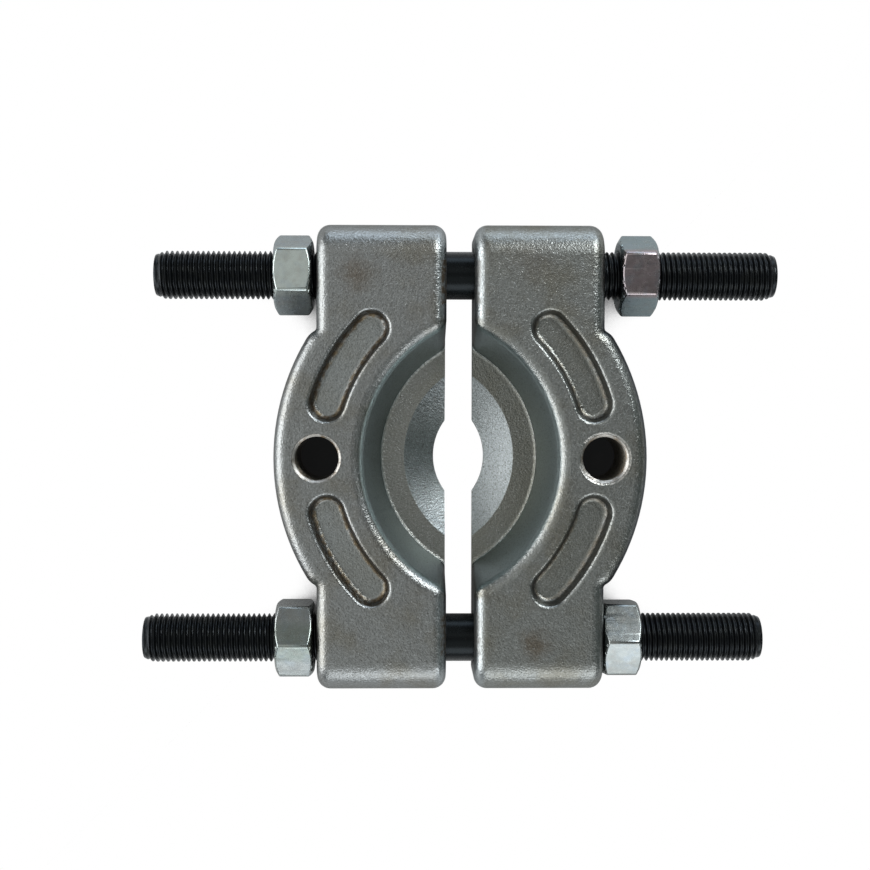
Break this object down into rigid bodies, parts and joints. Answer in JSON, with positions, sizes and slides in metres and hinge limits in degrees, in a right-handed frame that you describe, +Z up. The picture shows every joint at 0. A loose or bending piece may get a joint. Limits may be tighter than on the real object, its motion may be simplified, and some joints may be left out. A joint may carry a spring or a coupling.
{
  "type": "bearing separator",
  "caption": "Bearing separator: forged half plates with knife edges and tapped puller holes, drawn together on threaded studs by hexagon nuts.",
  "frame": {"origin": "middle of the gap between the half plates, midway between the studs, on the plane of the flat faces", "axes": "+X along the studs, +Y across them from the front stud to the rear one, +Z up from the flat faces to the hollowed faces"},
  "size_m": [0.1836, 0.1344, 0.025],
  "materials": {
    "forging": "shot-blasted drop forging, satin grey, with brown oil stains",
    "black_oxide": "black oxide, slightly oily",
    "zinc": "bright zinc plate, bluish"
  },
  "bodies": {
    "studs": {"stud_rear": "black_oxide", "stud_front": "black_oxide"},
    "left": {"half_left": "forging"},
    "right": {"half_right": "forging"},
    "left_rear_nut": {"nut_left_rear": "zinc"},
    "left_front_nut": {"nut_left_front": "zinc"},
    "right_rear_nut": {"nut_right_rear": "zinc"},
    "right_front_nut": {"nut_right_front": "zinc"}
  },
  "joints": [
    {"name": "left_slide", "type": "slide", "parent": "studs", "child": "left", "axis": [-1, 0, 0], "range_m": [-0.0039, 0.034]},
    {"name": "right_slide", "type": "slide", "parent": "studs", "child": "right", "axis": [1, 0, 0], "range_m": [-0.0039, 0.034]},
    {"name": "left_rear_nut_turn", "type": "hinge", "parent": "left", "child": "left_rear_nut", "pos_m": [-0.04825, 0.053, 0.0125], "axis": [-1, 0, 0], "range_deg": [-936.1, 8160.2]},
    {"name": "left_front_nut_turn", "type": "hinge", "parent": "left", "child": "left_front_nut", "pos_m": [-0.04795, -0.053, 0.0125], "axis": [-1, 0, 0], "range_deg": [-936.1, 8160.2]},
    {"name": "right_rear_nut_turn", "type": "hinge", "parent": "right", "child": "right_rear_nut", "pos_m": [0.05165, 0.053, 0.0125], "axis": [1, 0, 0], "range_deg": [-936.1, 8160.2]},
    {"name": "right_front_nut_turn", "type": "hinge", "parent": "right", "child": "right_front_nut", "pos_m": [0.04705, -0.053, 0.0125], "axis": [1, 0, 0], "range_deg": [-936.1, 8160.2]}
  ],
  "couplings": [
    {"joint": "left_rear_nut_turn", "follows": "left_slide", "rad_per_m": 4188.8},
    {"joint": "left_front_nut_turn", "follows": "left_slide", "rad_per_m": 4188.8},
    {"joint": "right_rear_nut_turn", "follows": "right_slide", "rad_per_m": 4188.8},
    {"joint": "right_front_nut_turn", "follows": "right_slide", "rad_per_m": 4188.8}
  ]
}
